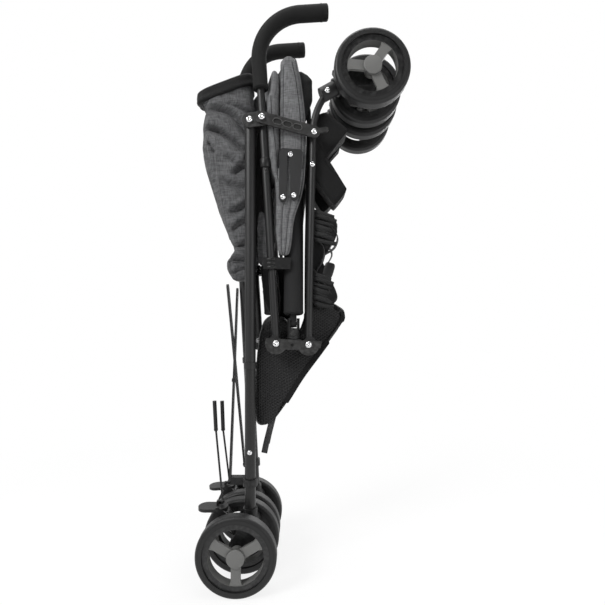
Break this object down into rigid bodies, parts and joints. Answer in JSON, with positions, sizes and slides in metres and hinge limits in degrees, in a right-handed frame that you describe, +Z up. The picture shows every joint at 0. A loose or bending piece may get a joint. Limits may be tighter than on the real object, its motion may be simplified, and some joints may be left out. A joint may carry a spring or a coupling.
{
  "type": "umbrella stroller",
  "caption": "Umbrella stroller folded upright on its rear wheels, with hooked foam grips, twin wheels, a pleated hood, a bumper bar and a mesh basket.",
  "frame": {"origin": "on the floor under the middle of the folded stroller's box", "axes": "+Z up, +X to the front, +Y to the left side"},
  "size_m": [0.4096, 0.212, 1.1189],
  "materials": {
    "black_tube": "satin black paint",
    "gunmetal_tube": "gunmetal paint",
    "black_plastic": "moulded, fine grain",
    "bracket_plastic": "moulded, satin",
    "stay_plastic": "moulded, matt",
    "rivet_steel": "bright zinc",
    "axle_steel": "zinc",
    "grip_foam": "closed cell foam",
    "bumper_foam": "closed cell foam",
    "tyre_foam": "moulded foam rubber",
    "rim_plastic": "grey spokes on a black ring",
    "link_wire": "black coated wire",
    "black_bar": "black paint",
    "grey_cloth": "grey melange weave",
    "black_cloth": "black weave",
    "basket_mesh": "black net"
  },
  "bodies": {
    "rear_right": {"rear_leg_upper_right": "black_tube", "rear_leg_lower_right": "gunmetal_tube", "rear_housing_right": "black_plastic", "leg_bracket_right": "bracket_plastic", "frame_rivets_right": "rivet_steel"},
    "push_right": {"push_tube_right": "black_tube", "grip_right": "grip_foam", "hood_bracket_right": "black_plastic", "hood_stay_right": "stay_plastic", "hood": "grey_cloth", "backrest": "grey_cloth", "seat": "black_cloth", "basket": "basket_mesh", "harness": "black_cloth"},
    "hinge_right": {"hinge_plate_right": "bracket_plastic", "hinge_rivets_right": "rivet_steel", "bumper_connector_right": "black_plastic"},
    "front_right": {"front_leg_right": "black_tube", "leg_rest_right": "black_cloth"},
    "rear_wheels_right": {"rear_axle_right": "axle_steel", "rear_rims_right": "rim_plastic", "rear_tyres_right": "tyre_foam"},
    "caster_right": {"caster_housing_right": "black_plastic"},
    "front_wheels_right": {"front_axle_right": "axle_steel", "front_rims_right": "rim_plastic", "front_tyres_right": "tyre_foam"},
    "brake_pedal_right": {"brake_pedal_right": "black_plastic"},
    "brake_link_right": {"brake_link_right": "link_wire"},
    "cross_bar_right": {"cross_bar_right": "black_bar"},
    "bumper_right": {"bumper_bar_right": "bumper_foam"},
    "button_right": {"bumper_button_right": "black_plastic"},
    "swivel_lock_right": {"swivel_lock_right": "black_plastic"},
    "rear_left": {"rear_leg_upper_left": "black_tube", "rear_leg_lower_left": "gunmetal_tube", "rear_housing_left": "black_plastic", "leg_bracket_left": "bracket_plastic", "frame_rivets_left": "rivet_steel"},
    "push_left": {"push_tube_left": "black_tube", "grip_left": "grip_foam", "hood_bracket_left": "black_plastic", "hood_stay_left": "stay_plastic"},
    "hinge_left": {"hinge_plate_left": "bracket_plastic", "hinge_rivets_left": "rivet_steel", "bumper_connector_left": "black_plastic"},
    "front_left": {"front_leg_left": "black_tube", "leg_rest_left": "black_cloth"},
    "rear_wheels_left": {"rear_axle_left": "axle_steel", "rear_rims_left": "rim_plastic", "rear_tyres_left": "tyre_foam"},
    "caster_left": {"caster_housing_left": "black_plastic"},
    "front_wheels_left": {"front_axle_left": "axle_steel", "front_rims_left": "rim_plastic", "front_tyres_left": "tyre_foam"},
    "brake_pedal_left": {"brake_pedal_left": "black_plastic"},
    "brake_link_left": {"brake_link_left": "link_wire"},
    "cross_bar_left": {"cross_bar_left": "black_bar"},
    "bumper_left": {"bumper_bar_left": "bumper_foam"},
    "button_left": {"bumper_button_left": "black_plastic"},
    "swivel_lock_left": {"swivel_lock_left": "black_plastic"},
    "latch": {"fold_latch": "bracket_plastic"}
  },
  "joints": [
    {"name": "unfold", "type": "hinge", "parent": "push_right", "child": "hinge_right", "pos_m": [-0.04333, -0.055, 0.46402], "axis": [0, 1, 0], "range_deg": [0, 82.29]},
    {"name": "push_fold_right", "type": "hinge", "parent": "rear_right", "child": "push_right", "pos_m": [-0.0698, -0.055, 0.892], "axis": [0, 1, 0], "range_deg": [-12, 0.5]},
    {"name": "front_fold_right", "type": "hinge", "parent": "hinge_right", "child": "front_right", "pos_m": [0.01863, -0.055, 0.46185], "axis": [0, 1, 0], "range_deg": [-0.5, 48.71]},
    {"name": "spread", "type": "slide", "parent": "push_right", "child": "push_left", "axis": [0.1608, 0.987, -0.0045], "range_m": [-0.001, 0.27456], "deforming": ["hood", "backrest", "seat", "basket", "harness"]},
    {"name": "rear_fold_left", "type": "hinge", "parent": "push_left", "child": "rear_left", "pos_m": [-0.1138, 0.055, 0.89324], "axis": [0, 1, 0], "range_deg": [-0.5, 15.08]},
    {"name": "hinge_fold_left", "type": "hinge", "parent": "push_left", "child": "hinge_left", "pos_m": [-0.08733, 0.055, 0.46526], "axis": [0, 1, 0], "range_deg": [-0.5, 85.79]},
    {"name": "front_fold_left", "type": "hinge", "parent": "hinge_left", "child": "front_left", "pos_m": [-0.02534, 0.055, 0.46634], "axis": [0, 1, 0], "range_deg": [-0.5, 40.71]},
    {"name": "rear_wheels_right_spin", "type": "hinge", "parent": "rear_right", "child": "rear_wheels_right", "pos_m": [-0.1148, -0.055, 0.075], "axis": [0, 1, 0], "continuous": true},
    {"name": "rear_wheels_left_spin", "type": "hinge", "parent": "rear_left", "child": "rear_wheels_left", "pos_m": [-0.1148, 0.055, 0.075], "axis": [0, 1, 0], "continuous": true},
    {"name": "caster_right_swivel", "type": "hinge", "parent": "front_right", "child": "caster_right", "pos_m": [0.05737, -0.055, 0.95026], "axis": [0.8746, 0, 0.4848], "range_deg": [-18, 18]},
    {"name": "caster_left_swivel", "type": "hinge", "parent": "front_left", "child": "caster_left", "pos_m": [0.05582, 0.055, 0.94951], "axis": [0.9135, 0, 0.4067], "range_deg": [-18.5, 18.5]},
    {"name": "front_wheels_right_spin", "type": "hinge", "parent": "caster_right", "child": "front_wheels_right", "pos_m": [0.1348, -0.055, 0.97146], "axis": [0, 1, 0], "continuous": true},
    {"name": "front_wheels_left_spin", "type": "hinge", "parent": "caster_left", "child": "front_wheels_left", "pos_m": [0.1348, 0.055, 0.96388], "axis": [0, 1, 0], "continuous": true},
    {"name": "latch_lift", "type": "hinge", "parent": "rear_right", "child": "latch", "pos_m": [-0.0698, -0.055, 0.892], "axis": [0, 1, 0], "range_deg": [-30, 0]},
    {"name": "brake_pedal_right_press", "type": "hinge", "parent": "rear_right", "child": "brake_pedal_right", "pos_m": [-0.1398, -0.055, 0.136], "axis": [0, 1, 0], "range_deg": [-15, 0]},
    {"name": "brake_pedal_left_press", "type": "hinge", "parent": "rear_left", "child": "brake_pedal_left", "pos_m": [-0.14305, 0.055, 0.13457], "axis": [0, 1, 0], "range_deg": [-15.5, 0.5]},
    {"name": "brake_link_right_swing", "type": "hinge", "parent": "brake_pedal_right", "child": "brake_link_right", "pos_m": [-0.1483, -0.05, 0.156], "axis": [-1, 0, 0], "range_deg": [-0.5, 54.5]},
    {"name": "brake_link_left_swing", "type": "hinge", "parent": "brake_pedal_left", "child": "brake_link_left", "pos_m": [-0.15261, 0.05, 0.15408], "axis": [0.9986, 0, 0.0538], "range_deg": [-0.5, 54.5]},
    {"name": "cross_bar_right_swing", "type": "hinge", "parent": "rear_right", "child": "cross_bar_right", "pos_m": [-0.1348, -0.043, 0.196], "axis": [-1, 0, 0], "range_deg": [-0.5, 53.67]},
    {"name": "cross_bar_left_swing", "type": "hinge", "parent": "rear_left", "child": "cross_bar_left", "pos_m": [-0.11832, 0.043, 0.19599], "axis": [0.9986, 0, 0.0538], "range_deg": [-0.5, 53.67]},
    {"name": "bumper_right_swing", "type": "hinge", "parent": "hinge_right", "child": "bumper_right", "pos_m": [-0.01035, -0.055, 0.50202], "axis": [-1, 0, 0], "range_deg": [-0.5, 30.5]},
    {"name": "bumper_left_swing", "type": "hinge", "parent": "hinge_left", "child": "bumper_left", "pos_m": [-0.05638, 0.055, 0.50493], "axis": [0.9986, 0, 0.0523], "range_deg": [-0.5, 30.5]},
    {"name": "bumper_button_right_press", "type": "slide", "parent": "hinge_right", "child": "button_right", "axis": [0, 1, 0], "range_m": [0, 0.0025], "stiffness_N_per_m": 600},
    {"name": "bumper_button_left_press", "type": "slide", "parent": "hinge_left", "child": "button_left", "axis": [0, -1, 0], "range_m": [0, 0.0025], "stiffness_N_per_m": 600},
    {"name": "swivel_lock_right_press", "type": "slide", "parent": "caster_right", "child": "swivel_lock_right", "axis": [0.4848, 0, -0.8746], "range_m": [0, 0.004], "stiffness_N_per_m": 600},
    {"name": "swivel_lock_left_press", "type": "slide", "parent": "caster_left", "child": "swivel_lock_left", "axis": [0.4067, 0, -0.9135], "range_m": [0, 0.004], "stiffness_N_per_m": 600}
  ],
  "couplings": [
    {"joint": "push_fold_right", "follows": "unfold", "ratio": -0.13975},
    {"joint": "front_fold_right", "follows": "unfold", "ratio": 0.58585},
    {"joint": "spread", "follows": "unfold", "m_per_rad": 0.19047},
    {"joint": "rear_fold_left", "follows": "unfold", "ratio": 0.17721},
    {"joint": "hinge_fold_left", "follows": "unfold", "ratio": 1.0365},
    {"joint": "front_fold_left", "follows": "unfold", "ratio": 0.48864},
    {"joint": "caster_left_swivel", "follows": "caster_right_swivel", "ratio": 1},
    {"joint": "brake_pedal_left_press", "follows": "brake_pedal_right_press", "ratio": 1},
    {"joint": "brake_link_right_swing", "follows": "unfold", "ratio": 0.65622},
    {"joint": "brake_link_left_swing", "follows": "unfold", "ratio": 0.65622},
    {"joint": "cross_bar_right_swing", "follows": "unfold", "ratio": 0.64609},
    {"joint": "cross_bar_left_swing", "follows": "unfold", "ratio": 0.64609},
    {"joint": "bumper_right_swing", "follows": "unfold", "ratio": 0.36456},
    {"joint": "bumper_left_swing", "follows": "unfold", "ratio": 0.36456}
  ]
}
